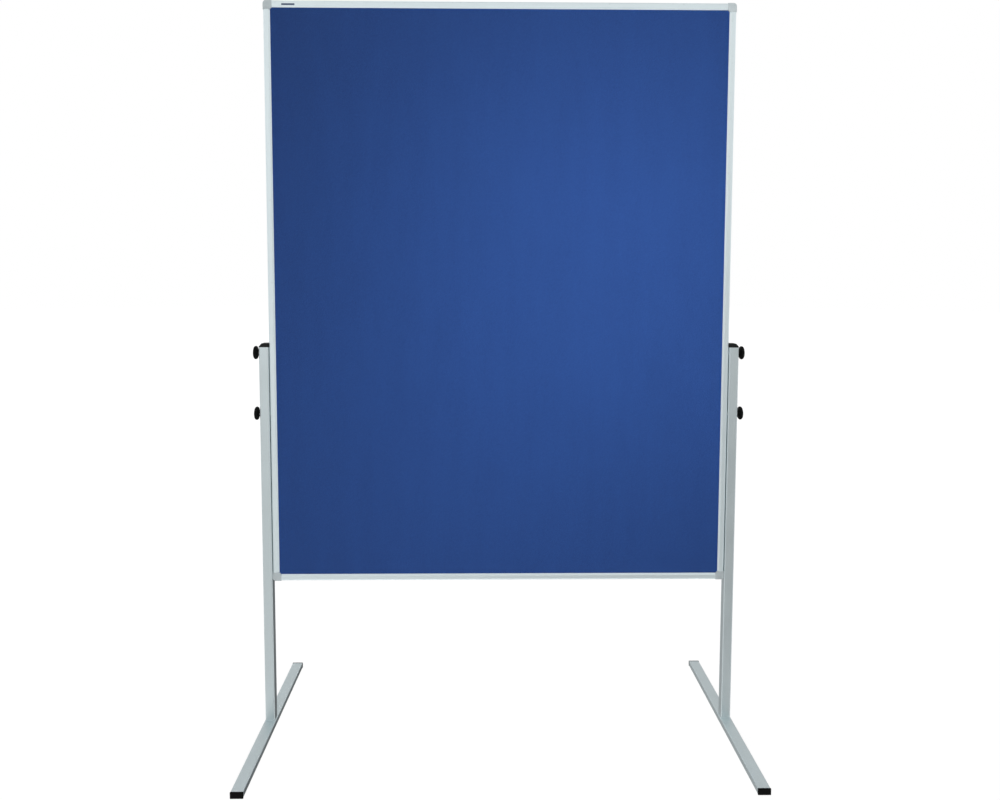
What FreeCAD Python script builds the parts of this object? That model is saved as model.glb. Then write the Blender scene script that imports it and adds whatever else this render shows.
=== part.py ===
import FreeCAD, Part
import os
import Sketcher

from FreeCAD import Placement, Rotation, Vector

# Free-standing pin board on two T-shaped stands.
#
# A felt-covered panel sits in an aluminium frame with plastic corners. Each side rail of the frame
# has an open groove. Two clamps on every upright reach into that groove: a knob turns a stud in a
# square nut behind the groove's lips and so holds the board at any height.
#
# +X is to the right seen from the front, the front faces -Y and +Z is up. The origin is on the floor,
# in the middle between the two stands.

SIZES = [
    # board
    ("board_width", 1200, "outer width of the frame"),
    ("board_height", 1500, "outer height of the frame"),
    ("board_bottom", 400, "height of the frame's lower edge above the floor"),
    ("rail_depth", 20, "frame thickness, front to back"),
    ("rail_face", 17, "visible width of a rail"),
    ("rail_flat", 12.3, "width of a rail up to where its inner lip slopes down"),
    ("rail_round", 3.5, "radius of a rail's outer edges"),
    ("lip_tip", 1, "thickness of the sloping lip at its edge"),
    ("panel_slot", 13.2, "width of the slot that holds the panel"),
    ("web_outer", 6, "distance of the rail's web from the outer face"),
    ("web_inner", 7.5, "distance of the slot's floor from the outer face"),
    ("groove_mouth", 6.6, "opening of the clamp groove"),
    ("groove_width", 11, "width of the clamp groove behind its lips"),
    ("groove_lip", 1.8, "thickness of the clamp groove's lips"),
    ("panel_inset", 8, "distance of the panel's edge from the frame's outer face"),
    ("core_thickness", 10, "thickness of the panel's light core"),
    ("felt_thickness", 1.5, "thickness of one layer of felt"),
    # plastic corners
    ("corner_size", 22, "length of a corner piece along each rail"),
    ("corner_proud", 0.4, "how far a corner stands out past the frame's outer faces"),
    ("corner_front_proud", 0.5, "how far a corner stands out past the front and back"),
    ("corner_round", 8, "radius of the outer corner"),
    ("corner_bevel", 5, "bevel at the corner towards the felt"),
    ("corner_edge_round", 0.8, "radius of a corner's front and back edges"),
    ("corner_slot_inset", 7.9, "distance of the corner's panel slot from the frame's outer face"),
    ("corner_slot", 13.1, "width of the corner's panel slot"),
    ("leg_length", 30, "length of a leg that reaches into a rail's groove"),
    ("leg_start", 2.1, "distance of a leg from the rail's outer face"),
    ("leg_thickness", 3.6, "thickness of a leg"),
    ("leg_width", 10.4, "width of a leg"),
    # blank plate on the upper rail
    ("badge_length", 33.5, "length of the blank plate"),
    ("badge_height", 4.6, "height of the blank plate"),
    ("badge_thickness", 0.4, "thickness of the blank plate"),
    ("badge_across", 63, "distance of the plate's middle from the frame's left side"),
    ("badge_drop", 9.9, "distance of the plate's middle from the frame's upper side"),
    # stands
    ("stand_gap", 0.8, "gap between a side rail and its upright"),
    ("tube_wall", 1.5, "wall of the square and of the flat tube"),
    ("upright_size", 25, "outer width of the square tube"),
    ("upright_length", 1006.5, "length of the square tube"),
    ("upright_round", 2.5, "radius of the square tube's edges"),
    ("runner_width", 30, "outer width of the flat tube"),
    ("runner_height", 15, "outer height of the flat tube"),
    ("runner_length", 594, "length of the flat tube"),
    ("runner_round", 2, "radius of the flat tube's edges"),
    ("plug_play", 0.2, "clearance of a plug inside its tube"),
    ("plug_wall", 2, "wall of a hollow plug"),
    ("top_cap_height", 10, "height of an upright's cap above its tube"),
    ("top_cap_rim", 0.5, "how far the cap stands out past the square tube"),
    ("top_cap_side", 1, "height of the cap's outer side below its slope"),
    ("top_cap_slope", 8, "width of the cap's slope"),
    ("top_cap_round", 2, "radius at the upper end of the slope"),
    ("top_cap_plug", 9, "depth of the cap's plug"),
    ("end_cap_rim", 0.5, "how far an end cap stands out past the flat tube"),
    ("end_cap_thickness", 3, "thickness of an end cap"),
    ("end_cap_round", 1.5, "radius of an end cap's edges"),
    ("end_cap_plug", 12, "depth of an end cap's plug"),
    # joint of upright and runner
    ("insert_height", 25, "height of the threaded insert in an upright's foot"),
    ("foot_bolt_radius", 4, "radius of the foot bolt"),
    ("foot_bolt_reach", 20, "how far the foot bolt reaches into the insert"),
    ("foot_head_radius", 6.5, "radius of the foot bolt's head"),
    ("foot_head_height", 4.4, "height of the foot bolt's head"),
    ("foot_socket", 2.9, "corner radius of the foot bolt's hexagon socket"),
    ("foot_socket_depth", 2.6, "depth of the foot bolt's hexagon socket"),
    ("foot_hole_radius", 4.25, "radius of the bolt's hole in the flat tube"),
    ("foot_washer_radius", 8, "outer radius of the foot washer"),
    ("foot_washer_thickness", 1.6, "thickness of the foot washer"),
    ("access_hole_radius", 9, "radius of the hole under the foot bolt"),
    # clamps
    ("clamp_upper", 1007, "height of the upper clamps above the floor"),
    ("clamp_lower", 847, "height of the lower clamps above the floor"),
    ("clamp_play", 0.3, "gap between the parts of an unstressed clamp"),
    ("stud_radius", 3, "radius of a clamp stud"),
    ("stud_reach", 5.5, "distance of the stud's inner end from the frame's outer face"),
    ("stud_seat", 8, "depth of the stud's seat in its knob"),
    ("stud_bevel", 0.5, "bevel at the stud's inner end"),
    ("stud_hole_radius", 3.25, "radius of the stud's holes in the upright, washer and spacer"),
    ("nut_bore_radius", 3.05, "radius of a slot nut's bore"),
    ("nut_size", 10, "width of a square slot nut"),
    ("nut_thickness", 3.2, "thickness of a slot nut"),
    ("washer_radius", 7, "outer radius of a clamp's washer and spacer"),
    ("washer_thickness", 1.2, "thickness of the washer under a knob"),
    ("spacer_thickness", 0.5, "thickness of the spacer between upright and rail"),
    ("knob_radius", 17.5, "radius of a knob"),
    ("knob_thickness", 8, "thickness of a knob's disc"),
    ("knob_round", 4, "radius of a knob's outer edge"),
    ("knob_back_round", 3.5, "radius of a knob's edge towards the upright"),
    ("hub_radius", 8, "radius of a knob's hub"),
    ("hub_length", 5, "length of a knob's hub"),
    ("flute_radius", 1.8, "radius of one finger flute in a knob's rim"),
    ("flute_depth", 0.6, "depth of one finger flute"),
    ("flute_count", 24, "number of finger flutes"),
]

SIDES = {"left": -1, "right": 1}
LEVELS = ("upper", "lower")
UP = Vector(0, 0, 1)
ALONG_Y = Vector(0, 1, 0)
NEAR = 0.01  # how exactly an edge is looked up by its place

# heights and distances that several sub-parts share, as expressions over the sheet
RUNNER_TOP = "params.runner_height + params.end_cap_rim"
RUNNER_MIDDLE = "params.runner_height / 2 + params.end_cap_rim"
UPRIGHT_TOP = RUNNER_TOP + " + params.upright_length"
SIDE_FACE = "params.board_width / 2"
UPRIGHT_INNER = SIDE_FACE + " + params.stand_gap"
UPRIGHT_OUTER = UPRIGHT_INNER + " + params.upright_size"
UPRIGHT_MIDDLE = UPRIGHT_INNER + " + params.upright_size / 2"
WASHER_FACE = UPRIGHT_OUTER + " + params.clamp_play"
KNOB_FACE = WASHER_FACE + " + params.washer_thickness + params.clamp_play"
STUD_END = SIDE_FACE + " - params.stud_reach"

doc = FreeCAD.newDocument("pin_board")
sheet = doc.addObject("Spreadsheet::Sheet", "params")
subparts = []


def fill_sheet():
    """Write one driving dimension per row: its name, its value and what it is."""
    for row, (alias, value, meaning) in enumerate(SIZES, start=1):
        sheet.set(f"A{row}", alias)
        sheet.set(f"B{row}", str(value))
        sheet.set(f"C{row}", meaning)
        sheet.setAlias(f"B{row}", alias)
    doc.recompute()


def number(expression):
    """Value of an expression over the sheet."""
    return float(sheet.evalExpression(expression.replace("params.", "")))


def place(thing, across, forward, up, turn=Rotation()):
    """Turn a sub-part and bind its position to three expressions."""
    thing.Placement = Placement(Vector(), turn)
    for axis, expression in (("x", across), ("y", forward), ("z", up)):
        thing.setExpression(f"Placement.Base.{axis}", expression)


def new_body(name):
    """Start a sub-part that is made of sketches and features."""
    body = doc.addObject("PartDesign::Body", name)
    body.Label = name
    subparts.append(body)
    return body


def new_sketch(body, plane):
    """Start a sketch on one of the body's own origin planes."""
    sketch = body.newObject("Sketcher::SketchObject", f"{body.Label}_sketch")
    support = next(item for item in body.Origin.OriginFeatures if item.Role == plane)
    sketch.AttachmentSupport = [(support, "")]
    sketch.MapMode = "FlatFace"
    return sketch


def bind(sketch, kind, line, point, expression):
    """Tie one coordinate of a sketch point to an expression, measured from the origin."""
    constraint = Sketcher.Constraint(kind, -1, 1, line, point, number(expression))
    index = sketch.addConstraint(constraint)
    sketch.setExpression(f"Constraints[{index}]", expression)


def add_polygon(sketch, corners):
    """Draw a closed polygon whose corners are pairs of expressions."""
    points = [Vector(number(across), number(up), 0) for across, up in corners]
    count = len(corners)
    first = sketch.GeometryCount
    for index, start in enumerate(points):
        sketch.addGeometry(Part.LineSegment(start, points[(index + 1) % count]))
    for index in range(count):
        following = first + (index + 1) % count
        sketch.addConstraint(Sketcher.Constraint("Coincident", first + index, 2, following, 1))
    for index, (across, up) in enumerate(corners):
        bind(sketch, "DistanceX", first + index, 1, across)
        bind(sketch, "DistanceY", first + index, 1, up)


def add_rectangle(sketch, width, height, across="0", up="0"):
    """Draw a rectangle around a middle point; all four arguments are expressions."""
    left = f"({across}) - ({width}) / 2"
    right = f"({across}) + ({width}) / 2"
    low = f"({up}) - ({height}) / 2"
    high = f"({up}) + ({height}) / 2"
    add_polygon(sketch, [(left, low), (right, low), (right, high), (left, high)])


def add_circle(sketch, radius, across="0", up="0"):
    """Draw a circle; all three arguments are expressions."""
    middle = Vector(number(across), number(up), 0)
    circle = sketch.addGeometry(Part.Circle(middle, UP, number(radius)))
    bind(sketch, "DistanceX", circle, 3, across)
    bind(sketch, "DistanceY", circle, 3, up)
    index = sketch.addConstraint(Sketcher.Constraint("Radius", circle, number(radius)))
    sketch.setExpression(f"Constraints[{index}]", radius)


def pad(body, sketch, length, symmetric=False, backwards=False):
    """Add the sketch's outline to the body."""
    feature = body.newObject("PartDesign::Pad", f"{body.Label}_pad")
    feature.Profile = sketch
    feature.SideType = "Symmetric" if symmetric else "One side"
    feature.Reversed = backwards
    feature.setExpression("Length", length)
    doc.recompute()
    return feature


def cut(body, sketch, length=None, symmetric=False, backwards=False):
    """Take the sketch's outline away from the body and make sure that something went."""
    before = body.Shape.Volume
    feature = body.newObject("PartDesign::Pocket", f"{body.Label}_pocket")
    feature.Profile = sketch
    feature.SideType = "Symmetric" if symmetric else "One side"
    feature.Reversed = backwards
    if length is None:
        feature.Type = "ThroughAll"
    else:
        feature.setExpression("Length", length)
    doc.recompute()
    if body.Shape.Volume > before - NEAR:
        raise RuntimeError(f"a pocket of {body.Label} cuts nothing")
    return feature


def round_edges(body, radius, chosen):
    """Fillet the edges of the finished shape so far that the test chooses."""
    base = body.Tip
    names = []
    for index, edge in enumerate(base.Shape.Edges, start=1):
        if chosen(edge):
            names.append(f"Edge{index}")
    feature = body.newObject("PartDesign::Fillet", f"{body.Label}_fillet")
    feature.Base = (base, names)
    feature.setExpression("Radius", radius)
    doc.recompute()


def runs_along(edge, axis):
    """Whether an edge is a straight line along an axis."""
    if edge.Curve.TypeId != "Part::GeomLine":
        return False
    return edge.tangentAt(edge.FirstParameter).cross(axis).Length < NEAR


def is_at(value, place_expression):
    """Whether a distance from the middle plane equals an expression, on either side."""
    return abs(abs(value) - number(place_expression)) < NEAR


# ---------------------------------------------------------------- board


def make_rail(name, length, across, up, turn):
    """One frame rail: clamp groove outside, panel slot inside, sloping lips towards the felt."""
    side = "params.rail_depth / 2"
    slot = "params.panel_slot / 2"
    mouth = "params.groove_mouth / 2"
    groove = "params.groove_width / 2"
    half = [
        ("0", mouth),
        ("0", side),
        ("params.rail_flat", side),
        ("params.rail_face", f"{slot} + params.lip_tip"),
        ("params.rail_face", slot),
        ("params.web_inner", slot),
    ]
    groove_half = [
        ("params.web_outer", groove),
        ("params.groove_lip", groove),
        ("params.groove_lip", mouth),
    ]
    outline = list(half)
    outline += [(inward, f"-({depth})") for inward, depth in reversed(half)]
    outline += [(inward, f"-({depth})") for inward, depth in reversed(groove_half)]
    outline += groove_half

    body = new_body(name)
    profile = new_sketch(body, "XY_Plane")
    add_polygon(profile, outline)
    pad(body, profile, length, symmetric=True)
    round_edges(
        body,
        "params.rail_round",
        lambda edge: runs_along(edge, UP)
        and abs(edge.CenterOfMass.x) < NEAR
        and is_at(edge.CenterOfMass.y, side),
    )
    place(body, across, "0", up, turn)


def make_rails():
    """The four rails, cut square and butted against the corner pieces."""
    upright_length = "params.board_height - 2 * params.corner_size"
    level_length = "params.board_width - 2 * params.corner_size"
    middle = "params.board_bottom + params.board_height / 2"
    top = "params.board_bottom + params.board_height"
    make_rail("frame_left", upright_length, f"-({SIDE_FACE})", middle, Rotation())
    make_rail("frame_right", upright_length, SIDE_FACE, middle, Rotation(UP, 180))
    make_rail("frame_bottom", level_length, "0", "params.board_bottom", Rotation(ALONG_Y, -90))
    make_rail("frame_top", level_length, "0", top, Rotation(ALONG_Y, 90))


def make_corner(name, across, up, angle):
    """One plastic corner: shell around the panel's corner with a leg into each rail."""
    body = new_body(name)
    low = "-params.corner_proud"
    size = "params.corner_size"
    bevel = "params.corner_size - params.corner_bevel"
    shell = new_sketch(body, "XZ_Plane")
    add_polygon(shell, [(low, low), (size, low), (size, bevel), (bevel, size), (low, size)])
    thickness = "params.rail_depth + 2 * params.corner_front_proud"
    pad(body, shell, thickness, symmetric=True)
    outer = -number("params.corner_proud")
    round_edges(
        body,
        "params.corner_round",
        lambda edge: runs_along(edge, ALONG_Y)
        and abs(edge.CenterOfMass.x - outer) < NEAR
        and abs(edge.CenterOfMass.z - outer) < NEAR,
    )
    round_edges(
        body,
        "params.corner_edge_round",
        lambda edge: is_at(edge.CenterOfMass.y, f"({thickness}) / 2")
        and not runs_along(edge, ALONG_Y),
    )

    slot = new_sketch(body, "XZ_Plane")
    inset = "params.corner_slot_inset"
    beyond = "params.corner_size + 1"
    add_polygon(slot, [(inset, inset), (beyond, inset), (beyond, beyond), (inset, beyond)])
    cut(body, slot, "params.corner_slot", symmetric=True)

    legs = new_sketch(body, "XZ_Plane")
    root = "params.corner_size - params.leg_thickness"
    tip = "params.corner_size + params.leg_length"
    near = "params.leg_start"
    far = "params.leg_start + params.leg_thickness"
    add_polygon(legs, [(root, near), (tip, near), (tip, far), (root, far)])
    add_polygon(legs, [(near, root), (far, root), (far, tip), (near, tip)])
    pad(body, legs, "params.leg_width", symmetric=True)
    place(body, across, "0", up, Rotation(ALONG_Y, angle))


def make_corners():
    """The four corner pieces, each the same moulding turned by a quarter turn."""
    right = SIDE_FACE
    left = f"-({right})"
    low = "params.board_bottom"
    high = "params.board_bottom + params.board_height"
    make_corner("corner_bottom_left", left, low, 0)
    make_corner("corner_bottom_right", right, low, -90)
    make_corner("corner_top_right", right, high, 180)
    make_corner("corner_top_left", left, high, 90)


def make_slab(name, width, thickness, height, across, forward, up):
    """A flat rectangular sub-part, placed by its lower left front corner."""
    slab = doc.addObject("Part::Box", name)
    slab.Label = name
    slab.setExpression("Length", width)
    slab.setExpression("Width", thickness)
    slab.setExpression("Height", height)
    place(slab, across, forward, up)
    subparts.append(slab)


def make_panel():
    """Light core with a layer of felt on each face."""
    width = "params.board_width - 2 * params.panel_inset"
    height = "params.board_height - 2 * params.panel_inset"
    left = f"-({width}) / 2"
    low = "params.board_bottom + params.panel_inset"
    core = "params.core_thickness"
    felt = "params.felt_thickness"
    make_slab("panel_core", width, core, height, left, f"-{core} / 2", low)
    make_slab("felt_front", width, felt, height, left, f"-{core} / 2 - {felt}", low)
    make_slab("felt_back", width, felt, height, left, f"{core} / 2", low)


def make_badge():
    """Small blank plate on the upper rail."""
    left = f"-({SIDE_FACE}) + params.badge_across - params.badge_length / 2"
    front = "-params.rail_depth / 2 - params.badge_thickness"
    top = "params.board_bottom + params.board_height"
    low = f"{top} - params.badge_drop - params.badge_height / 2"
    length = "params.badge_length"
    make_slab("blank_badge", length, "params.badge_thickness", "params.badge_height", left, front, low)


# ---------------------------------------------------------------- stands


def make_upright(side):
    """Square tube with the clamp studs' holes through both side walls."""
    outer = "params.upright_size"
    inner = "params.upright_size - 2 * params.tube_wall"
    body = new_body(f"upright_{side}")
    section = new_sketch(body, "XY_Plane")
    add_rectangle(section, outer, outer)
    add_rectangle(section, inner, inner)
    pad(body, section, "params.upright_length")
    round_edges(
        body,
        "params.upright_round",
        lambda edge: runs_along(edge, UP)
        and is_at(edge.CenterOfMass.x, f"{outer} / 2")
        and is_at(edge.CenterOfMass.y, f"{outer} / 2"),
    )
    holes = new_sketch(body, "YZ_Plane")
    for level in LEVELS:
        add_circle(holes, "params.stud_hole_radius", "0", f"params.clamp_{level} - ({RUNNER_TOP})")
    cut(body, holes, symmetric=True)
    place(body, f"{SIDES[side]} * ({UPRIGHT_MIDDLE})", "0", RUNNER_TOP)


def make_upright_cap(side):
    """Plug in the top of an upright, sloping down towards the outside."""
    half = "(params.upright_size / 2 + params.top_cap_rim)"
    height = "params.top_cap_height"
    shoulder = f"{half} - params.top_cap_slope"
    body = new_body(f"upright_cap_{side}")
    outline = new_sketch(body, "XZ_Plane")
    corners = [
        (f"-{half}", "0"),
        (half, "0"),
        (half, "params.top_cap_side"),
        (shoulder, height),
        (f"-{half}", height),
    ]
    add_polygon(outline, corners)
    pad(body, outline, f"2 * {half}", symmetric=True)
    round_edges(body, "params.upright_round + params.top_cap_rim", lambda edge: runs_along(edge, UP))
    round_edges(
        body,
        "params.top_cap_round",
        lambda edge: runs_along(edge, ALONG_Y)
        and abs(edge.CenterOfMass.x - number(shoulder)) < NEAR
        and abs(edge.CenterOfMass.z - number(height)) < NEAR,
    )
    plug = new_sketch(body, "XY_Plane")
    plug_width = "params.upright_size - 2 * params.tube_wall - 2 * params.plug_play"
    hollow_width = f"{plug_width} - 2 * params.plug_wall"
    add_rectangle(plug, plug_width, plug_width)
    add_rectangle(plug, hollow_width, hollow_width)
    pad(body, plug, "params.top_cap_plug", backwards=True)
    turn = Rotation(UP, 0 if side == "right" else 180)
    place(body, f"{SIDES[side]} * ({UPRIGHT_MIDDLE})", "0", UPRIGHT_TOP, turn)


def make_runner(side):
    """Flat tube on the floor, with the foot bolt's hole above and an access hole below."""
    body = new_body(f"runner_{side}")
    section = new_sketch(body, "XZ_Plane")
    wall = "2 * params.tube_wall"
    add_rectangle(section, "params.runner_width", "params.runner_height")
    add_rectangle(section, f"params.runner_width - {wall}", f"params.runner_height - {wall}")
    pad(body, section, "params.runner_length", symmetric=True)
    round_edges(
        body,
        "params.runner_round",
        lambda edge: runs_along(edge, ALONG_Y)
        and is_at(edge.CenterOfMass.x, "params.runner_width / 2")
        and is_at(edge.CenterOfMass.z, "params.runner_height / 2"),
    )
    bolt_hole = new_sketch(body, "XY_Plane")
    add_circle(bolt_hole, "params.foot_hole_radius")
    cut(body, bolt_hole, backwards=True)
    access_hole = new_sketch(body, "XY_Plane")
    add_circle(access_hole, "params.access_hole_radius")
    cut(body, access_hole)
    place(body, f"{SIDES[side]} * ({UPRIGHT_MIDDLE})", "0", RUNNER_MIDDLE)


def make_runner_cap(side, end, facing):
    """Plastic cap on one end of a runner; its rim carries the runner just clear of the floor."""
    body = new_body(f"runner_cap_{side}_{end}")
    rim = "2 * params.end_cap_rim"
    wall = "2 * params.tube_wall"
    play = "2 * params.plug_play"
    plug_width = f"params.runner_width - {wall} - {play}"
    plug_height = f"params.runner_height - {wall} - {play}"
    face = new_sketch(body, "XZ_Plane")
    add_rectangle(face, f"params.runner_width + {rim}", f"params.runner_height + {rim}")
    pad(body, face, "params.end_cap_thickness")
    round_edges(
        body,
        "params.end_cap_round",
        lambda edge: runs_along(edge, ALONG_Y)
        or abs(edge.CenterOfMass.y + number("params.end_cap_thickness")) < NEAR,
    )
    plug = new_sketch(body, "XZ_Plane")
    add_rectangle(plug, plug_width, plug_height)
    add_rectangle(plug, f"{plug_width} - 2 * params.plug_wall", f"{plug_height} - 2 * params.plug_wall")
    pad(body, plug, "params.end_cap_plug", backwards=True)
    forward = f"{facing} * params.runner_length / 2"
    turn = Rotation(UP, 0 if facing < 0 else 180)
    place(body, f"{SIDES[side]} * ({UPRIGHT_MIDDLE})", forward, RUNNER_MIDDLE, turn)


def make_foot_insert(side):
    """Threaded block in the lower end of an upright."""
    width = "params.upright_size - 2 * params.tube_wall - params.plug_play"
    body = new_body(f"foot_insert_{side}")
    section = new_sketch(body, "XY_Plane")
    add_rectangle(section, width, width)
    add_circle(section, "params.foot_bolt_radius")
    pad(body, section, "params.insert_height")
    place(body, f"{SIDES[side]} * ({UPRIGHT_MIDDLE})", "0", RUNNER_TOP)


def make_foot_washer(side):
    """Washer between the foot bolt's head and the runner's upper wall."""
    body = new_body(f"foot_washer_{side}")
    section = new_sketch(body, "XY_Plane")
    add_circle(section, "params.foot_washer_radius")
    add_circle(section, "params.foot_hole_radius")
    pad(body, section, "params.foot_washer_thickness")
    up = f"{RUNNER_TOP} - params.tube_wall - params.foot_washer_thickness"
    place(body, f"{SIDES[side]} * ({UPRIGHT_MIDDLE})", "0", up)


def make_foot_bolt(side):
    """Bolt from inside the runner up into the insert, with a hexagon socket in its head."""
    body = new_body(f"foot_bolt_{side}")
    head = new_sketch(body, "XY_Plane")
    add_circle(head, "params.foot_head_radius")
    pad(body, head, "params.foot_head_height")
    shank = new_sketch(body, "XY_Plane")
    add_circle(shank, "params.foot_bolt_radius")
    grip = "params.foot_washer_thickness + params.tube_wall"
    length = f"params.foot_head_height + {grip} + params.foot_bolt_reach"
    pad(body, shank, length)
    round_edges(body, "params.stud_bevel", lambda edge: edge.CenterOfMass.z > number(length) - NEAR)
    socket = new_sketch(body, "XY_Plane")
    corners = []
    for angle in range(0, 360, 60):
        corners.append((f"params.foot_socket * cos({angle})", f"params.foot_socket * sin({angle})"))
    add_polygon(socket, corners)
    cut(body, socket, "params.foot_socket_depth", backwards=True)
    up = f"{RUNNER_TOP} - ({grip}) - params.foot_head_height"
    place(body, f"{SIDES[side]} * ({UPRIGHT_MIDDLE})", "0", up)


# ---------------------------------------------------------------- clamps


def place_on_clamp(thing, side, level, distance):
    """Put a sub-part on a clamp's axis; its own +Z then points away from the board."""
    outward = Rotation(UP, Vector(SIDES[side], 0, 0))
    place(thing, f"{SIDES[side]} * ({distance})", "0", f"params.clamp_{level}", outward)


def make_ring(name, side, level, distance, thickness):
    """Flat ring around a clamp's stud."""
    body = new_body(name)
    section = new_sketch(body, "XY_Plane")
    add_circle(section, "params.washer_radius")
    add_circle(section, "params.stud_hole_radius")
    pad(body, section, thickness)
    place_on_clamp(body, side, level, distance)


def make_slot_nut(name, side, level):
    """Square nut behind the lips of the side rail's groove."""
    body = new_body(name)
    section = new_sketch(body, "XY_Plane")
    add_rectangle(section, "params.nut_size", "params.nut_size")
    add_circle(section, "params.nut_bore_radius")
    pad(body, section, "params.nut_thickness")
    inner = f"{SIDE_FACE} - params.groove_lip - params.clamp_play - params.nut_thickness"
    place_on_clamp(body, side, level, inner)


def make_stud(name, side, level):
    """Stud moulded into the knob; its inner end turns in the slot nut."""
    body = new_body(name)
    section = new_sketch(body, "XY_Plane")
    add_circle(section, "params.stud_radius")
    pad(body, section, f"{KNOB_FACE} + params.stud_seat - ({STUD_END})")
    round_edges(body, "params.stud_bevel", lambda edge: edge.CenterOfMass.z < NEAR)
    place_on_clamp(body, side, level, STUD_END)


def make_knob(name, side, level):
    """Round grip with a hub towards the upright and shallow flutes around its rim."""
    body = new_body(name)
    back = "params.hub_length"
    front = "params.hub_length + params.knob_thickness"
    profile = new_sketch(body, "XZ_Plane")
    corners = [
        ("params.stud_radius", "0"),
        ("params.hub_radius", "0"),
        ("params.hub_radius", back),
        ("params.knob_radius", back),
        ("params.knob_radius", front),
        ("0", front),
        ("0", "params.stud_seat"),
        ("params.stud_radius", "params.stud_seat"),
    ]
    add_polygon(profile, corners)
    grip = body.newObject("PartDesign::Revolution", f"{name}_turned")
    grip.Profile = profile
    grip.ReferenceAxis = (profile, ["V_Axis"])
    grip.Angle = 360
    doc.recompute()

    def is_rim(edge, height):
        if edge.Curve.TypeId != "Part::GeomCircle":
            return False
        return is_at(edge.Curve.Radius, "params.knob_radius") and is_at(edge.CenterOfMass.z, height)

    round_edges(body, "params.knob_round", lambda edge: is_rim(edge, front))
    round_edges(body, "params.knob_back_round", lambda edge: is_rim(edge, back))
    flute = new_sketch(body, "XY_Plane")
    flute_place = "params.knob_radius + params.flute_radius - params.flute_depth"
    add_circle(flute, "params.flute_radius", flute_place)
    first = cut(body, flute, symmetric=True)
    pattern = body.newObject("PartDesign::PolarPattern", f"{name}_flutes")
    pattern.Originals = [first]
    pattern.Axis = (flute, ["N_Axis"])
    pattern.Angle = 360
    pattern.setExpression("Occurrences", "params.flute_count")
    body.Tip = pattern
    doc.recompute()
    place_on_clamp(body, side, level, KNOB_FACE)


def make_clamp(side, level):
    """One complete clamp, from the nut in the rail's groove to the knob outside the upright."""
    tag = f"{side}_{level}"
    make_slot_nut(f"slot_nut_{tag}", side, level)
    spacer = "params.spacer_thickness"
    make_ring(f"spacer_{tag}", side, level, f"{UPRIGHT_INNER} - {spacer}", spacer)
    make_ring(f"washer_{tag}", side, level, WASHER_FACE, "params.washer_thickness")
    make_stud(f"knob_stud_{tag}", side, level)
    make_knob(f"knob_{tag}", side, level)


# ---------------------------------------------------------------- whole object


def build():
    """Make every sub-part."""
    fill_sheet()
    make_rails()
    make_corners()
    make_panel()
    make_badge()
    for side in SIDES:
        make_upright(side)
        make_upright_cap(side)
        make_runner(side)
        make_runner_cap(side, "front", -1)
        make_runner_cap(side, "back", 1)
        make_foot_insert(side)
        make_foot_washer(side)
        make_foot_bolt(side)
        for level in LEVELS:
            make_clamp(side, level)
    doc.recompute()


def check():
    """Stop if any object failed or any sub-part isn't one valid solid."""
    for item in doc.Objects:
        if "Invalid" in item.State or "Error" in item.State:
            raise RuntimeError(f"{item.Label} failed: {item.State}")
    for thing in subparts:
        shape = thing.Shape
        if shape.isNull() or not shape.isValid() or len(shape.Solids) != 1:
            raise RuntimeError(f"{thing.Label} isn't one valid solid")


def export():
    """Write one STEP file per sub-part."""
    os.makedirs("parts", exist_ok=True)
    for thing in subparts:
        thing.Shape.exportStep(f"parts/{thing.Label}.step")
    print(f"{len(subparts)} sub-parts written")


build()
check()
export()
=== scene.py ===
import math

import bmesh
import bpy
from mathutils import Matrix, Vector, noise


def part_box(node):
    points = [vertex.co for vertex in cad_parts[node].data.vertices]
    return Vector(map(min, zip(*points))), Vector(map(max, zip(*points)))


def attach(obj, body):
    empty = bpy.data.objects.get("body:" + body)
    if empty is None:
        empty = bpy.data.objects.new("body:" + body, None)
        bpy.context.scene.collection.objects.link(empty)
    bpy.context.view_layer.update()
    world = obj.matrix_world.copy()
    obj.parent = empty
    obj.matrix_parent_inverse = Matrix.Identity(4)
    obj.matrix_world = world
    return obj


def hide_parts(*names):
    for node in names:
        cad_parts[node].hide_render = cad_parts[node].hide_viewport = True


# Looks of a free-standing felt pin board in an aluminium frame, clamped between two T-shaped stands.
# All lengths are in metres, in the frame of the CAD model: +X right, front faces -Y, +Z up.

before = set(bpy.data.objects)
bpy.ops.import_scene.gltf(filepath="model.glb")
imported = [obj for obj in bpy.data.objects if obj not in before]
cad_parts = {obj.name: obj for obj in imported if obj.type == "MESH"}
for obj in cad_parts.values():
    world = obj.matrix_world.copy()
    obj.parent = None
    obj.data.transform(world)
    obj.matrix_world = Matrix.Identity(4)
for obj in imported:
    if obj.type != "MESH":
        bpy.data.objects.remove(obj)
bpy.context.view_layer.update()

MM = 0.001
SIDES = ("left", "right")
LEVELS = ("upper", "lower")


# ---------------------------------------------------------------- node helpers


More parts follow.
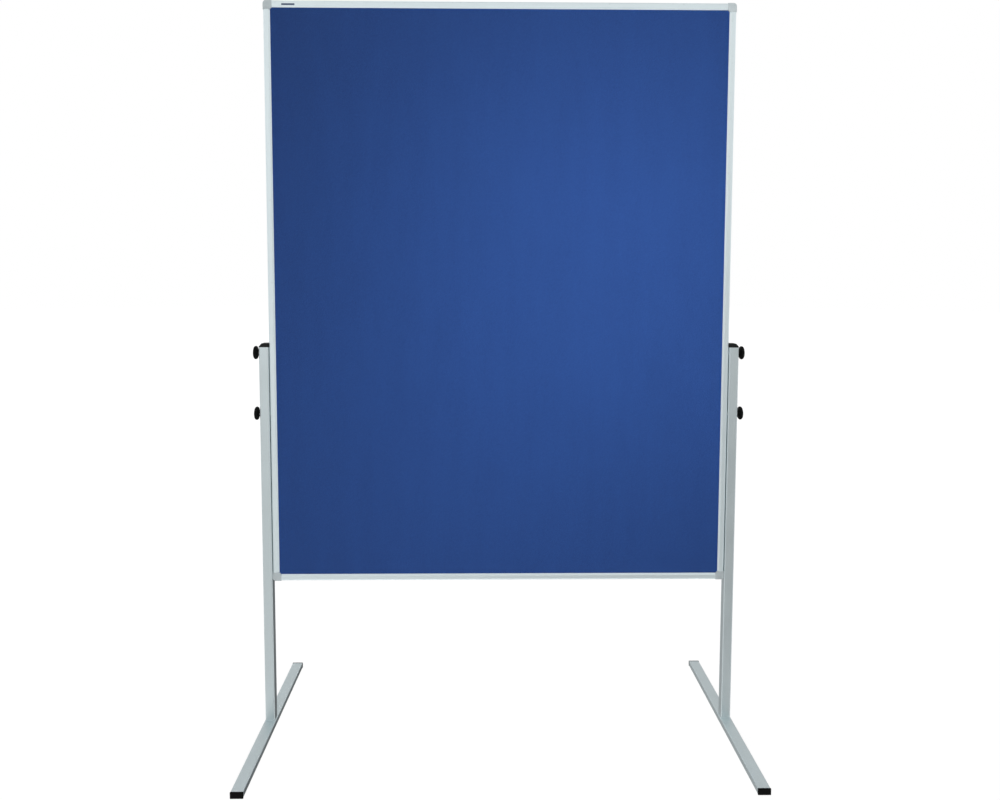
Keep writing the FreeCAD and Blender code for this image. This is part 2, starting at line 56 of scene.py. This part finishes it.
class Finish:
    """One procedural material: a Principled shader and short calls for the nodes that drive it.

    Patterns read the object's own coordinates, which are metres in the row frame, so they stay on the
    piece when it moves. Pattern sizes are given in millimetres.
    """

    def __init__(self, name, **constants):
        self.material = bpy.data.materials.new(name)
        self.material.use_nodes = True
        self.nodes = self.material.node_tree.nodes
        self.links = self.material.node_tree.links
        self.shader = self.nodes["Principled BSDF"]
        for socket, value in constants.items():
            self.shader.inputs[socket.replace("_", " ")].default_value = value
        self.place = self.nodes.new("ShaderNodeTexCoord").outputs["Object"]

    def node(self, kind, inputs=(), **settings):
        """Add a node; inputs maps socket names or indices to numbers, colours or other outputs."""
        node = self.nodes.new(kind)
        for name, value in settings.items():
            setattr(node, name, value)
        for socket, value in dict(inputs).items():
            if isinstance(value, bpy.types.NodeSocket):
                self.links.new(value, node.inputs[socket])
            else:
                node.inputs[socket].default_value = value
        return node

    def stretched(self, sizes, turn=(0, 0, 0)):
        """Coordinates in which a pattern of size 1 measures the given millimetres along X, Y and Z."""
        turned = self.node("ShaderNodeMapping", {"Vector": self.place, "Rotation": turn})
        scale = [1 / (size * MM) for size in sizes]
        return self.node("ShaderNodeMapping", {"Vector": turned.outputs[0], "Scale": scale}).outputs[0]

    def clouds(self, sizes, detail=3.0, roughness=0.5, distortion=0.0, turn=(0, 0, 0)):
        """Soft noise of the given sizes, around 0.5."""
        inputs = {
            "Vector": self.stretched(sizes, turn),
            "Scale": 1.0,
            "Detail": detail,
            "Roughness": roughness,
            "Distortion": distortion,
        }
        return self.node("ShaderNodeTexNoise", inputs).outputs["Fac"]

    def spots(self, sizes, feature="F1"):
        """Distance to the nearest of many scattered points."""
        inputs = {"Vector": self.stretched(sizes), "Scale": 1.0}
        return self.node("ShaderNodeTexVoronoi", inputs, feature=feature).outputs["Distance"]

    def span(self, value, low, high, new_low=0.0, new_high=1.0):
        """Stretch a value from one range to another, clamped."""
        inputs = {
            "Value": value,
            "From Min": low,
            "From Max": high,
            "To Min": new_low,
            "To Max": new_high,
        }
        return self.node("ShaderNodeMapRange", inputs, clamp=True).outputs["Result"]

    def spread(self, cloud, new_low=0.0, new_high=1.0):
        """Stretch the values that noise mostly has to a new range."""
        return self.span(cloud, 0.3, 0.7, new_low, new_high)

    def calc(self, operation, first, second=0.0, third=0.0):
        """One arithmetic operation."""
        inputs = {0: first, 1: second, 2: third}
        return self.node("ShaderNodeMath", inputs, operation=operation).outputs[0]

    def blend(self, share, first, second):
        """Mix two colours by a share."""
        inputs = {"Factor": share, 6: first, 7: second}
        return self.node("ShaderNodeMix", inputs, data_type="RGBA").outputs[2]

    def bump(self, height, distance, below=None):
        """Surface relief: height 1 stands the given millimetres above height 0."""
        inputs = {"Height": height, "Distance": distance * MM, "Strength": 1.0}
        if below is not None:
            inputs["Normal"] = below
        return self.node("ShaderNodeBump", inputs).outputs["Normal"]

    def drive(self, **sockets):
        """Connect outputs to the shader's sockets."""
        for socket, value in sockets.items():
            self.links.new(value, self.shader.inputs[socket.replace("_", " ")])


def grey(value, tint=(1.0, 1.0, 1.0)):
    """A colour of one brightness with a slight tint."""
    return (*(value * share for share in tint), 1.0)


# ---------------------------------------------------------------- finishes


# slight tints of metal and grey plastic, and of black plastic
COOL = (0.90, 1.0, 1.03)
COOLER = (0.89, 1.0, 1.03)
NEAR_BLACK = (0.85, 1.0, 1.0)


def satin_aluminium(name, along):
    """Matt anodised extrusion: fine die lines along the rail, faint clouding and handling marks."""
    line_length, line_width, band_width = 900.0, 0.22, 1.6
    line_sizes = [line_length if axis == along else line_width for axis in "XYZ"]
    band_sizes = [line_length if axis == along else band_width for axis in "XYZ"]
    line_height, grain_height = 0.006, 0.004
    band_contrast, band_floor = 0.45, 0.28
    mark_colour_share, mark_roughness = 0.25, 0.12
    finish = Finish(name, Metallic=0.94)
    lines = finish.clouds(line_sizes, detail=2.0)
    bands = finish.clouds(band_sizes, detail=1.0)
    cloud = finish.clouds((70, 70, 70), detail=4.0, roughness=0.6)
    grain = finish.clouds((0.18, 0.18, 0.18), detail=1.0)
    marks = finish.span(finish.clouds((9, 9, 9), detail=6.0, roughness=0.7), 0.60, 0.72)
    shade = finish.calc("MULTIPLY_ADD", bands, band_contrast, band_floor)
    tone = finish.calc("MULTIPLY", shade, finish.spread(cloud, 0.9, 1.1))
    colour = finish.blend(tone, grey(0.84, COOLER), grey(0.96, COOL))
    colour = finish.blend(finish.calc("MULTIPLY", marks, mark_colour_share), colour, grey(0.55))
    dulled = finish.calc("MULTIPLY", marks, mark_roughness)
    gloss = finish.calc("ADD", finish.spread(lines, 0.41, 0.49), dulled)
    relief = finish.bump(grain, grain_height, finish.bump(lines, line_height))
    finish.drive(Base_Color=colour, Roughness=gloss, Normal=relief)
    return finish.material


def silver_paint(name):
    """Silver-grey powder coat: orange peel, fine flakes, and scuffs where feet meet the runners."""
    scuff_top, scuff_full = 0.06, 0.012
    scuff_colour_share, scuff_roughness = 0.3, 0.2
    flake_height, peel_height = 0.003, 0.02
    finish = Finish(name, Metallic=0.9)
    peel = finish.clouds((1.5, 1.5, 1.5), detail=2.0, roughness=0.45)
    flakes = finish.clouds((0.12, 0.12, 0.12), detail=0.0)
    cloud = finish.clouds((120, 120, 160), detail=4.0, roughness=0.6)
    height = finish.node("ShaderNodeSeparateXYZ", {0: finish.place}).outputs[2]
    near_floor = finish.span(height, scuff_top, scuff_full)
    scratch = finish.clouds((3, 9, 9), detail=6.0, roughness=0.7, distortion=1.2)
    scuffs = finish.calc("MULTIPLY", finish.span(scratch, 0.60, 0.70), near_floor)
    dull = grey(0.67, (0.89, 1.0, 1.02))
    bright = grey(0.84, COOLER)
    colour = finish.blend(finish.span(flakes, 0.25, 0.75), dull, bright)
    shaded = grey(0.58, (0.92, 1.0, 1.0))
    colour = finish.blend(finish.span(cloud, 0.35, 0.65, 0.0, 0.18), colour, shaded)
    colour = finish.blend(finish.calc("MULTIPLY", scuffs, scuff_colour_share), colour, grey(0.30))
    dulled = finish.calc("MULTIPLY", scuffs, scuff_roughness)
    gloss = finish.calc("ADD", finish.spread(cloud, 0.38, 0.47), dulled)
    relief = finish.bump(flakes, flake_height, finish.bump(peel, peel_height))
    finish.drive(Base_Color=colour, Roughness=gloss, Normal=relief)
    return finish.material


def moulded_plastic(name, light, dark, roughness, specular, metal_flake=0.0):
    """Moulded plastic with a fine eroded grain, flow clouding and a little polish from handling."""
    polish, wear = 0.06, 0.08
    grain_height, flow_height = 0.012, 0.02
    finish = Finish(name, Specular_IOR_Level=specular, Metallic=metal_flake)
    grain = finish.spots((0.45, 0.45, 0.45))
    flow = finish.clouds((18, 18, 18), detail=4.0, roughness=0.6, distortion=0.8)
    handling = finish.span(finish.clouds((7, 7, 7), detail=5.0, roughness=0.7), 0.45, 0.65)
    colour = finish.blend(finish.spread(flow), dark, light)
    gloss = finish.span(handling, 0.0, 1.0, roughness - polish, roughness + wear)
    relief = finish.bump(grain, grain_height, finish.bump(flow, flow_height))
    finish.drive(Base_Color=colour, Roughness=gloss, Normal=relief)
    return finish.material


def plated_steel(name):
    """Zinc-plated steel of nuts, studs and washers: bright, slightly crystalline, with turning marks."""
    finish = Finish(name, Metallic=1.0)
    crystals = finish.spots((0.9, 0.9, 0.9))
    turning = finish.clouds((0.12, 4, 4), detail=2.0)
    stain = finish.clouds((5, 5, 5), detail=5.0, roughness=0.7)
    bright = grey(0.62, (1.0, 1.0, 0.97))
    dull = grey(0.48, (0.97, 0.98, 1.0))
    stained = grey(0.33, (1.0, 0.93, 0.82))
    colour = finish.blend(finish.span(crystals, 0.1, 0.8), bright, dull)
    colour = finish.blend(finish.span(stain, 0.5, 0.75, 0.0, 0.35), colour, stained)
    gloss = finish.spread(turning, 0.24, 0.42)
    finish.drive(Base_Color=colour, Roughness=gloss, Normal=finish.bump(turning, 0.01))
    return finish.material


def white_nylon(name):
    """Milky nylon of the spacers, a little yellow in the thick parts."""
    finish = Finish(name, Specular_IOR_Level=0.4, Subsurface_Weight=0.15, Subsurface_Scale=0.002)
    cloud = finish.clouds((4, 4, 4), detail=4.0, roughness=0.6)
    grain = finish.clouds((0.3, 0.3, 0.3), detail=2.0)
    yellowed = grey(0.70, (1.0, 0.99, 0.94))
    clean = grey(0.80, (1.0, 1.0, 0.97))
    colour = finish.blend(finish.spread(cloud), yellowed, clean)
    gloss = finish.spread(grain, 0.42, 0.55)
    finish.drive(Base_Color=colour, Roughness=gloss, Normal=finish.bump(grain, 0.01))
    return finish.material


def fibre_board(name):
    """Light fibre core: short tan fibres pressed in layers."""
    finish = Finish(name, Specular_IOR_Level=0.2)
    fibres = finish.clouds((2.2, 0.25, 2.2), detail=5.0, roughness=0.7, distortion=0.7)
    cloud = finish.clouds((25, 3, 25), detail=3.0)
    tan, pale = (1.0, 0.80, 0.55), (1.0, 0.86, 0.66)
    colour = finish.blend(finish.spread(fibres), grey(0.40, tan), grey(0.62, pale))
    colour = finish.blend(finish.span(cloud, 0.4, 0.7, 0.0, 0.3), colour, grey(0.30, tan))
    gloss = finish.spread(fibres, 0.85, 0.95)
    finish.drive(Base_Color=colour, Roughness=gloss, Normal=finish.bump(fibres, 0.15))
    return finish.material


def needle_felt(name):
    """Blue needle felt: three layers of fine crossing fibres, soft loft, faint streaks of the roll, with
    painted shade in the gaps between fibres and in the low spots of the loft.
    """
    finish = Finish(name, Specular_IOR_Level=0.52, Sheen_Weight=0.1, Sheen_Roughness=0.45)
    finish.shader.inputs["Sheen Tint"].default_value = (0.35, 0.55, 1.0, 1.0)
    fibre_sizes, fibre_turns = (2.4, 1.0, 0.14), (14, 75, 137)
    web_height, loft_height = 0.10, 0.35
    layers = []
    for degrees in fibre_turns:
        turn = (0, math.radians(degrees), 0)
        layer = finish.clouds(fibre_sizes, detail=2.0, roughness=0.55, distortion=1.4, turn=turn)
        layers.append(finish.span(layer, 0.5, 0.68))
    web = finish.calc("MAXIMUM", finish.calc("MAXIMUM", layers[0], layers[1]), layers[2])
    loft = finish.clouds((6, 6, 6), detail=5.0, roughness=0.62)
    streaks = finish.clouds((45, 45, 260), detail=3.0, roughness=0.55)
    # darker felt colour that stands for painted shade where the fibres and the loft lie low
    felt_in_painted_shade = (0.0095, 0.0400, 0.175, 1.0)
    top = (0.0262, 0.1060, 0.420, 1.0)
    # painted shade: the gaps between the raised fibres of the web are darker, the fibres on top lighter
    colour = finish.blend(finish.span(web, 0.0, 1.0, 0.12, 1.0), felt_in_painted_shade, top)
    # painted shade: low spots of the loft, which the bump also sinks, are darker
    colour = finish.blend(finish.span(loft, 0.36, 0.62, 0.22, 0.0), colour, felt_in_painted_shade)
    colour = finish.blend(finish.span(streaks, 0.35, 0.65, 0.0, 0.12), colour, top)
    gloss = finish.span(web, 0.0, 1.0, 0.96, 0.86)
    relief = finish.bump(web, web_height, finish.bump(loft, loft_height))
    finish.drive(Base_Color=colour, Roughness=gloss, Normal=relief)
    return finish.material


def dark_plate(name):
    """Blank plate: dark blue-grey lacquer with fine brushing along its length."""
    finish = Finish(name, Specular_IOR_Level=0.5)
    brushing = finish.clouds((9, 0.1, 0.1), detail=2.0)
    cloud = finish.clouds((6, 6, 6), detail=3.0)
    dark = (0.085, 0.13, 0.22, 1.0)
    light = (0.12, 0.18, 0.29, 1.0)
    colour = finish.blend(finish.spread(brushing), dark, light)
    gloss = finish.spread(cloud, 0.30, 0.42)
    finish.drive(Base_Color=colour, Roughness=gloss, Normal=finish.bump(brushing, 0.006))
    return finish.material


LIGHT_GREY = grey(0.74, COOL)
MID_GREY = grey(0.64, COOL)
SOFT_BLACK = grey(0.006, NEAR_BLACK)
DEEP_BLACK = grey(0.002, NEAR_BLACK)

FINISHES = {
    "rail_upright": satin_aluminium("satin_aluminium_upright", "Z"),
    "rail_level": satin_aluminium("satin_aluminium_level", "X"),
    "stand": silver_paint("silver_powder_coat"),
    "corner": moulded_plastic("grey_plastic", LIGHT_GREY, MID_GREY, 0.46, 0.45, metal_flake=0.35),
    "black": moulded_plastic("black_plastic", SOFT_BLACK, DEEP_BLACK, 0.5, 0.06),
    "satin_black": moulded_plastic("satin_black_plastic", SOFT_BLACK, DEEP_BLACK, 0.45, 0.27),
    "steel": plated_steel("zinc_plated_steel"),
    "nylon": white_nylon("white_nylon"),
    "core": fibre_board("fibre_board"),
    "felt": needle_felt("blue_needle_felt"),
    "badge": dark_plate("dark_plate"),
}

# which finish a CAD node takes, by the start of its name; the first that fits counts
NODE_FINISHES = (
    ("frame_left", "rail_upright"),
    ("frame_right", "rail_upright"),
    ("frame_", "rail_level"),
    ("corner_", "corner"),
    ("panel_core", "core"),
    ("felt_", "felt"),
    ("blank_badge", "badge"),
    ("upright_cap_", "satin_black"),
    ("runner_cap_", "black"),
    ("upright_", "stand"),
    ("runner_", "stand"),
    ("knob_stud_", "steel"),
    ("knob_", "black"),
    ("spacer_", "nylon"),
    ("washer_", "steel"),
    ("slot_nut_", "steel"),
    ("foot_", "steel"),
)


def paint_nodes():
    """Give every carried-over CAD node its finish."""
    for name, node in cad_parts.items():
        finish = next(finish for start, finish in NODE_FINISHES if name.startswith(start))
        for slot in node.material_slots:
            slot.material = FINISHES[finish]


# ---------------------------------------------------------------- pieces


def new_piece(name, mesh_maker, finish, body, replaced):
    """Turn a bmesh into a piece that rides on a body and stands for CAD nodes."""
    mesh = bpy.data.meshes.new(name)
    maker = bmesh.new()
    mesh_maker(maker)
    bmesh.ops.recalc_face_normals(maker, faces=maker.faces)
    maker.to_mesh(mesh)
    maker.free()
    mesh.materials.append(FINISHES[finish])
    piece = bpy.data.objects.new(name, mesh)
    bpy.context.scene.collection.objects.link(piece)
    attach(piece, body)
    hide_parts(*replaced)
    return piece


def felt_sheet(node, facing):
    """Closed sheet of felt: flat on the core, with loft and slight waves on its visible face."""
    low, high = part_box(node)
    cell = 12 * MM
    hidden_edge = 9 * MM
    rise = 25 * MM
    bulge = 0.35 * MM
    wave = 0.15 * MM
    waves_across, waves_up, waves_apart = 14, 9, 3.0
    columns = round((high.x - low.x) / cell)
    rows = round((high.z - low.z) / cell)
    inner, outer = (high.y, low.y) if facing < 0 else (low.y, high.y)

    def outer_height(x, z):
        edge = min(x - low.x, high.x - x, z - low.z, high.z - z)
        share = min(1.0, max(0.0, (edge - hidden_edge) / rise))
        share = share * share * (3 - 2 * share)
        waves = noise.noise(Vector((x * waves_across, facing * waves_apart, z * waves_up)))
        return outer + facing * share * (bulge + wave * waves)

    def make(maker):
        grids = []
        for surface in ("inner", "outer"):
            grid = []
            for row in range(rows + 1):
                z = low.z + (high.z - low.z) * row / rows
                line = []
                for column in range(columns + 1):
                    x = low.x + (high.x - low.x) * column / columns
                    y = inner if surface == "inner" else outer_height(x, z)
                    line.append(maker.verts.new((x, y, z)))
                grid.append(line)
            for row in range(rows):
                for column in range(columns):
                    corners = (
                        grid[row][column],
                        grid[row][column + 1],
                        grid[row + 1][column + 1],
                        grid[row + 1][column],
                    )
                    maker.faces.new(corners)
            grids.append(grid)
        rims = []
        for grid in grids:
            around = [grid[0][column] for column in range(columns)]
            around += [grid[row][columns] for row in range(rows)]
            around += [grid[rows][column] for column in range(columns, 0, -1)]
            around += [grid[row][0] for row in range(rows, 0, -1)]
            rims.append(around)
        count = len(rims[0])
        for index in range(count):
            following = (index + 1) % count
            maker.faces.new((rims[0][index], rims[0][following], rims[1][following], rims[1][index]))

    piece = new_piece(f"{node}_sheet", make, "felt", "board", [node])
    for polygon in piece.data.polygons:
        polygon.use_smooth = abs(polygon.normal.y) > 0.5
    return piece


def arc(middle, radius, start, end, steps=8):
    """Points on an arc; middle and points are (along, out) in millimetres, angles in degrees."""
    points = []
    for step in range(steps + 1):
        angle = math.radians(start + (end - start) * step / steps)
        points.append((middle[0] + radius * math.cos(angle), middle[1] + radius * math.sin(angle)))
    return points


def knob_outline(thickness, radius):
    """Half section of a knob, from the seat of its stud round to the middle of its domed face."""
    bore, bore_depth = 3.05, 8.0
    hub, hub_length = 8.0, 5.0
    hub_round, hub_fillet = 0.8, 1.2
    back_round, front_round = 3.5, 4.0
    ring_width, ring_round, dish = 1.4, 0.4, 0.7
    dome_rise, dome_steps = 0.5, 10
    dome_radius = radius - front_round - ring_width - ring_round
    points = [(bore_depth, 0.0), (bore_depth, bore), (0.0, bore)]
    points += arc((hub_round, hub - hub_round), hub_round, 180, 90)
    points += arc((hub_length - hub_fillet, hub + hub_fillet), hub_fillet, -90, 0)
    points += arc((hub_length + back_round, radius - back_round), back_round, 180, 90)
    points += arc((thickness - front_round, radius - front_round), front_round, 90, 0)
    points += arc((thickness - ring_round, dome_radius + ring_round), ring_round, 0, -90)
    for step in range(dome_steps + 1):
        share = 1 - step / dome_steps
        rise = dome_rise * (1 - share * share)
        points.append((thickness - dish + rise, dome_radius * share))
    return points


def knob_piece(side, level):
    """Knob with a fluted rim, a rounded hub and a domed face in a shallow dish."""
    node = f"knob_{side}_{level}"
    flutes, steps_per_flute = 24, 8
    flute_depth, flute_half_width, flute_start = 0.6, 1.4, 13.5
    sharp_angle = math.radians(40)
    low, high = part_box(node)
    outward = -1 if side == "left" else 1
    seat = high.x if side == "left" else low.x
    middle = (low + high) / 2
    radius = (high.z - low.z) / 2 / MM
    outline = knob_outline((high.x - low.x) / MM, radius)
    around = flutes * steps_per_flute

    def cut_back(out, step):
        """Radius at one step around the rim, less the flute's depth there."""
        rim = min(1.0, max(0.0, (out - flute_start) / (radius - flute_start)))
        nearest = (step + steps_per_flute / 2) % steps_per_flute - steps_per_flute / 2
        aside = nearest / around * math.tau * radius / flute_half_width
        return out - flute_depth * rim * rim * (3 - 2 * rim) * max(0.0, 1 - aside * aside)

    def make(maker):
        rings = []
        for along, out in outline:
            x = seat + outward * along * MM
            if out == 0:
                rings.append([maker.verts.new((x, middle.y, middle.z))])
                continue
            ring = []
            for step in range(around):
                angle = math.tau * step / around
                reach = cut_back(out, step) * MM
                y = middle.y + reach * math.cos(angle)
                ring.append(maker.verts.new((x, y, middle.z + reach * math.sin(angle))))
            rings.append(ring)
        for first, second in zip(rings, rings[1:]):
            for step in range(around):
                following = (step + 1) % around
                if len(first) == 1:
                    maker.faces.new((first[0], second[step], second[following]))
                elif len(second) == 1:
                    maker.faces.new((first[step], first[following], second[0]))
                else:
                    maker.faces.new((first[step], first[following], second[following], second[step]))

    body = f"clamp_knob_{side}_{level}"
    piece = new_piece(f"{node}_grip", make, "black", body, [node])
    for polygon in piece.data.polygons:
        polygon.use_smooth = True
    piece.data.set_sharp_from_angle(angle=sharp_angle)
    return piece


def blank_plate():
    """Plate on the upper rail with rounded corners and a fine bevel around its face."""
    low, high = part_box("blank_badge")
    plate_corners = ((high.x, high.z), (low.x, high.z), (low.x, low.z), (high.x, low.z))
    corner, bevel = 1.3 * MM, 0.15 * MM
    steps = 6

    def outline(inset):
        points = []
        rounding = corner - inset
        for quarter, (x, z) in enumerate(plate_corners):
            across = x - math.copysign(corner, x - (low.x + high.x) / 2)
            up = z - math.copysign(corner, z - (low.z + high.z) / 2)
            for step in range(steps + 1):
                angle = math.pi / 2 * (quarter + step / steps)
                points.append((across + rounding * math.cos(angle), up + rounding * math.sin(angle)))
        return points

    def make(maker):
        rings = []
        for inset, y in ((0.0, high.y), (0.0, low.y + bevel), (bevel, low.y)):
            rings.append([maker.verts.new((x, y, z)) for x, z in outline(inset)])
        count = len(rings[0])
        for first, second in zip(rings, rings[1:]):
            for index in range(count):
                following = (index + 1) % count
                maker.faces.new((first[index], first[following], second[following], second[index]))
        maker.faces.new(rings[0])
        maker.faces.new(rings[-1])

    new_piece("blank_badge_plate", make, "badge", "board", ["blank_badge"])


# ---------------------------------------------------------------- stage


def pale_floor():
    """Round pale floor that fades into the white background away from the object."""
    radius = 30.0
    glow_strength, near_glow = 1.06, 0.9
    fade_start, fade_end = 0.3, 3.5
    mesh = bpy.data.meshes.new("floor")
    maker = bmesh.new()
    bmesh.ops.create_circle(maker, cap_ends=True, segments=96, radius=radius)
    maker.to_mesh(mesh)
    maker.free()
    finish = Finish("pale_floor", Specular_IOR_Level=0.2)
    cloud = finish.clouds((400, 400, 400), detail=4.0)
    finish.drive(
        Base_Color=finish.blend(finish.spread(cloud), grey(0.88), grey(0.92)),
        Roughness=finish.spread(cloud, 0.7, 0.8),
    )
    length = finish.node("ShaderNodeVectorMath", {0: finish.place}, operation="LENGTH")
    glow = finish.node("ShaderNodeEmission", {"Color": (1, 1, 1, 1), "Strength": glow_strength})
    far = finish.span(length.outputs["Value"], fade_start, fade_end, near_glow, 1.0)
    sources = {0: far, 1: finish.shader.outputs[0], 2: glow.outputs[0]}
    mixed = finish.node("ShaderNodeMixShader", sources)
    finish.links.new(mixed.outputs[0], finish.nodes["Material Output"].inputs["Surface"])
    mesh.materials.append(finish.material)
    floor = bpy.data.objects.new("floor", mesh)
    floor.visible_glossy = False
    floor.visible_diffuse = False
    bpy.context.scene.collection.objects.link(floor)


def heading(azimuth, elevation):
    """Direction from the object: azimuth 0 is straight to the front, positive to the right."""
    turn, rise = math.radians(azimuth), math.radians(elevation)
    return Vector((math.sin(turn) * math.cos(rise), -math.cos(turn) * math.cos(rise), math.sin(rise)))


# soft areas of the room that are darker or brighter than the rest: direction, angle in degrees inside
# which the area is at its full strength, angle where it ends, and its brightness beside the rest's 1
ROOM_AREAS = (
    (heading(26, -7), 6, 31, 0.44),
    (heading(7, -23), 9, 26, 0.16),
    (heading(4, -51), 10, 29, 1.85),
    (heading(-42, -14), 6, 25, 0.28),
    (heading(-15, -5), 4, 21, 1.25),
    (heading(11, 16), 6, 22, 1.45),
    (heading(4, 48), 12, 34, 0.42),
    (heading(152, -31), 22, 60, 0.10),
    (heading(-150, -20), 20, 55, 0.62),
    (heading(174, 35), 20, 60, 0.70),
)


def studio_world():
    """White room with soft darker and brighter areas that metal mirrors; the camera sees plain white."""
    world = bpy.data.worlds.new("studio")
    world.use_nodes = True
    nodes, links = world.node_tree.nodes, world.node_tree.links
    light = nodes["Background"]
    direction = nodes.new("ShaderNodeTexCoord").outputs["Generated"]
    strength = None
    for middle, inner, outer, brightness in ROOM_AREAS:
        facing = nodes.new("ShaderNodeVectorMath")
        facing.operation = "DOT_PRODUCT"
        links.new(direction, facing.inputs[0])
        facing.inputs[1].default_value = middle
        share = nodes.new("ShaderNodeMapRange")
        share.interpolation_type = "SMOOTHSTEP"
        share.inputs["From Min"].default_value = math.cos(math.radians(outer))
        share.inputs["From Max"].default_value = math.cos(math.radians(inner))
        share.inputs["To Min"].default_value = 1.0
        share.inputs["To Max"].default_value = brightness
        links.new(facing.outputs["Value"], share.inputs["Value"])
        if strength is None:
            strength = share.outputs["Result"]
        else:
            product = nodes.new("ShaderNodeMath")
            product.operation = "MULTIPLY"
            links.new(strength, product.inputs[0])
            links.new(share.outputs["Result"], product.inputs[1])
            strength = product.outputs[0]
    links.new(strength, light.inputs["Strength"])
    light.inputs["Color"].default_value = (1.0, 1.0, 1.0, 1.0)
    seen = nodes.new("ShaderNodeBackground")
    seen.inputs["Color"].default_value = (1.0, 1.0, 1.0, 1.0)
    camera_ray = nodes.new("ShaderNodeLightPath").outputs["Is Camera Ray"]
    mixed = nodes.new("ShaderNodeMixShader")
    links.new(camera_ray, mixed.inputs[0])
    links.new(light.outputs[0], mixed.inputs[1])
    links.new(seen.outputs[0], mixed.inputs[2])
    links.new(mixed.outputs[0], nodes["World Output"].inputs["Surface"])
    world.cycles_visibility.diffuse = False
    bpy.context.scene.world = world


# lamps for felt and plastic: name, place, point they face, side of the square and power in watts
SOFT_BOXES = (
    ("key", (0.36, -1.05, 1.33), (0.36, 0.0, 1.33), 0.6, 8.4),
    ("low_fill", (-0.25, -1.25, 0.4), (-0.25, 0.0, 0.4), 0.6, 4.2),
    ("front_fill", (0.0, -5.0, 2.6), (0.0, 0.0, 1.0), 3.0, 67),
    ("back_fill", (-0.8, 3.0, 2.4), (0.0, 0.0, 1.0), 2.0, 95),
)


def soft_box(name, place, aim, size, power):
    """Square soft lamp at a place, facing a point; metal mirrors the room instead of it."""
    light = bpy.data.lights.new(name, "AREA")
    light.shape = "SQUARE"
    light.size = size
    light.energy = power
    lamp = bpy.data.objects.new(name, light)
    lamp.location = place
    lamp.rotation_euler = (Vector(aim) - Vector(place)).to_track_quat("-Z", "Y").to_euler()
    lamp.visible_camera = False
    lamp.visible_glossy = False
    bpy.context.scene.collection.objects.link(lamp)


def photo_camera():
    """Camera in front of the board, at the reference view."""
    place = Vector((-0.050, -2.0021, 1.2054))
    pan, tilt, roll = 0.0135, 0.0681, 0.0019
    data = bpy.data.cameras.new("camera")
    data.sensor_width = 36.0
    data.lens = 27.62
    data.shift_x = 0.0090
    data.shift_y = -0.0709
    data.clip_start = 0.05
    data.clip_end = 200.0
    camera = bpy.data.objects.new("camera", data)
    turn = Matrix.Rotation(-pan, 4, "Z") @ Matrix.Rotation(math.pi / 2 - tilt, 4, "X")
    camera.matrix_world = Matrix.Translation(place) @ turn @ Matrix.Rotation(roll, 4, "Z")
    bpy.context.scene.collection.objects.link(camera)
    bpy.context.scene.camera = camera


# ---------------------------------------------------------------- whole scene


def build():
    paint_nodes()
    felt_sheet("felt_front", -1)
    felt_sheet("felt_back", 1)
    blank_plate()
    for side in SIDES:
        for level in LEVELS:
            knob_piece(side, level)
    pale_floor()
    studio_world()
    for lamp in SOFT_BOXES:
        soft_box(*lamp)
    photo_camera()
    bpy.context.scene.view_settings.view_transform = "Standard"


build()
